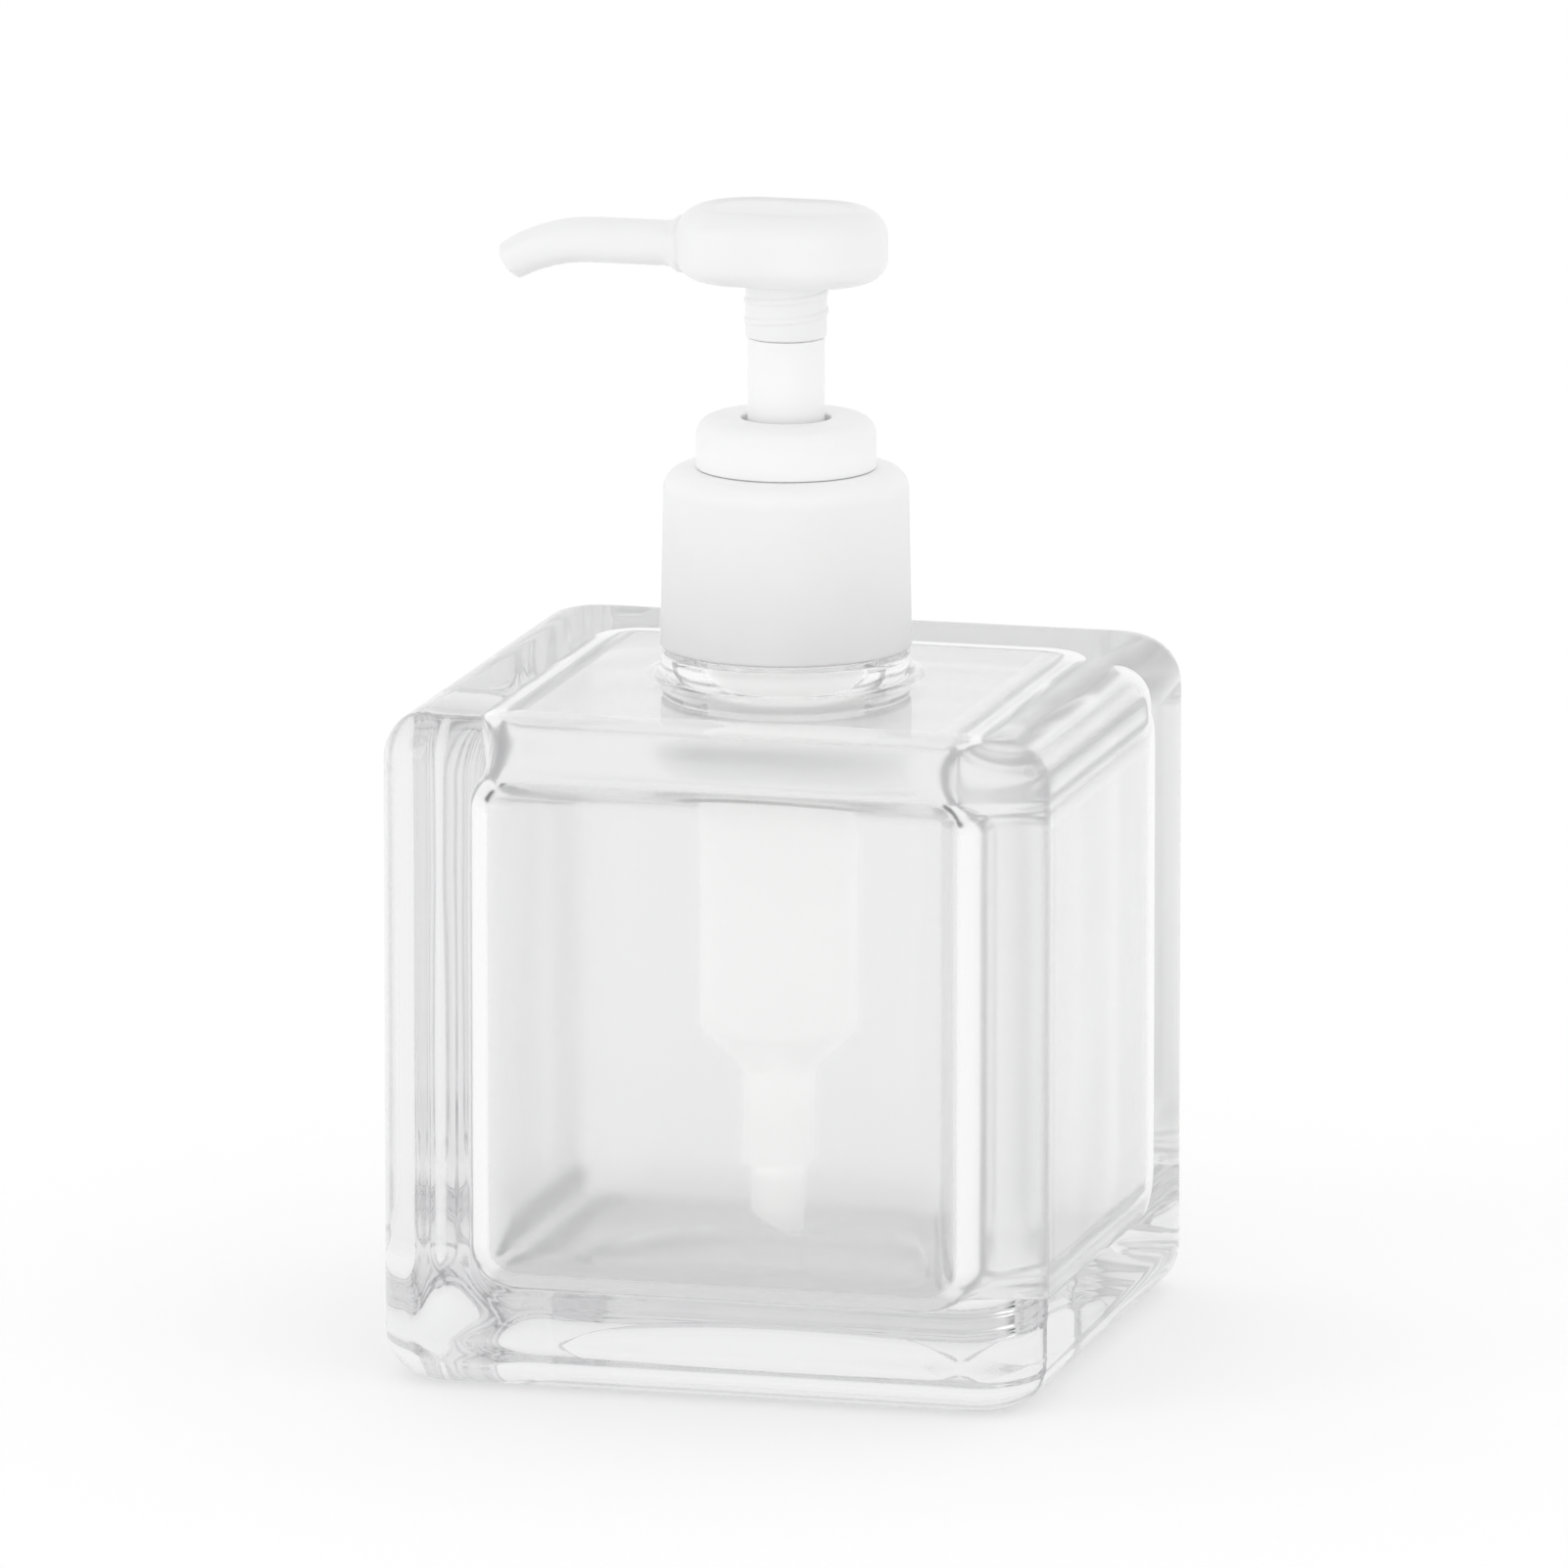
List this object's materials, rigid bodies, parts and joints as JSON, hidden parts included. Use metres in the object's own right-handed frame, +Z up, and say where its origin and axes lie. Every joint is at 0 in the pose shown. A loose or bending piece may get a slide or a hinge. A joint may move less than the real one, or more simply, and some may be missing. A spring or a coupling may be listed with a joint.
{
  "type": "soap pump dispenser",
  "caption": "Square thick-walled clear bottle with a white screw-on lotion pump: sprung plunger, swivelling oval head with a drooping spout, and dip tube.",
  "frame": {"origin": "centre of the base underside, on the axis of the neck", "axes": "+Z up along the neck and the pump; the spout points along -X and a flat side of the bottle faces -Y"},
  "size_m": [0.083, 0.083, 0.14],
  "materials": {
    "bottle_glass": "clear, polished",
    "white_plastic": "white, satin gloss",
    "natural_plastic": "natural translucent",
    "soft_seal": "soft, natural",
    "foam": "closed-cell foam",
    "spring_steel": "bright drawn wire",
    "ball_steel": "polished"
  },
  "bodies": {
    "bottle": {"bottle": "bottle_glass"},
    "engine": {"pump_housing": "natural_plastic", "chaplet": "white_plastic", "stem_wiper": "soft_seal", "neck_gasket": "foam", "ball_retainer": "natural_plastic", "dip_tube": "natural_plastic", "return_spring": "spring_steel"},
    "closure": {"closure": "white_plastic"},
    "seal": {"piston_seal": "soft_seal"},
    "plunger": {"stem": "white_plastic", "piston_rod": "white_plastic"},
    "head": {"actuator": "white_plastic", "head_cover": "white_plastic"},
    "ball": {"inlet_ball": "ball_steel"}
  },
  "joints": [
    {"name": "pump_lift", "type": "slide", "parent": "bottle", "child": "engine", "axis": [0, 0, 1], "range_m": [0, 0.00634]},
    {"name": "closure_unscrew", "type": "hinge", "parent": "engine", "child": "closure", "pos_m": [0, 0, 0.095], "axis": [0, 0, 1], "range_deg": [0, 540]},
    {"name": "pump_stroke", "type": "slide", "parent": "engine", "child": "plunger", "axis": [0, 0, 1], "range_m": [-0.01195, 0], "stiffness_N_per_m": 700, "springref_m": 0.0114, "deforming": ["return_spring"]},
    {"name": "port_gap", "type": "slide", "parent": "plunger", "child": "seal", "axis": [0, 0, 1], "range_m": [0, 0.00095]},
    {"name": "head_swivel", "type": "hinge", "parent": "plunger", "child": "head", "pos_m": [0, 0, 0.128], "axis": [0, 0, 1], "continuous": true},
    {"name": "ball_lift", "type": "slide", "parent": "engine", "child": "ball", "axis": [0, 0, 1], "range_m": [0, 0.0034]}
  ],
  "couplings": [
    {"joint": "closure_unscrew", "follows": "pump_lift", "rad_per_m": 1485.4}
  ]
}
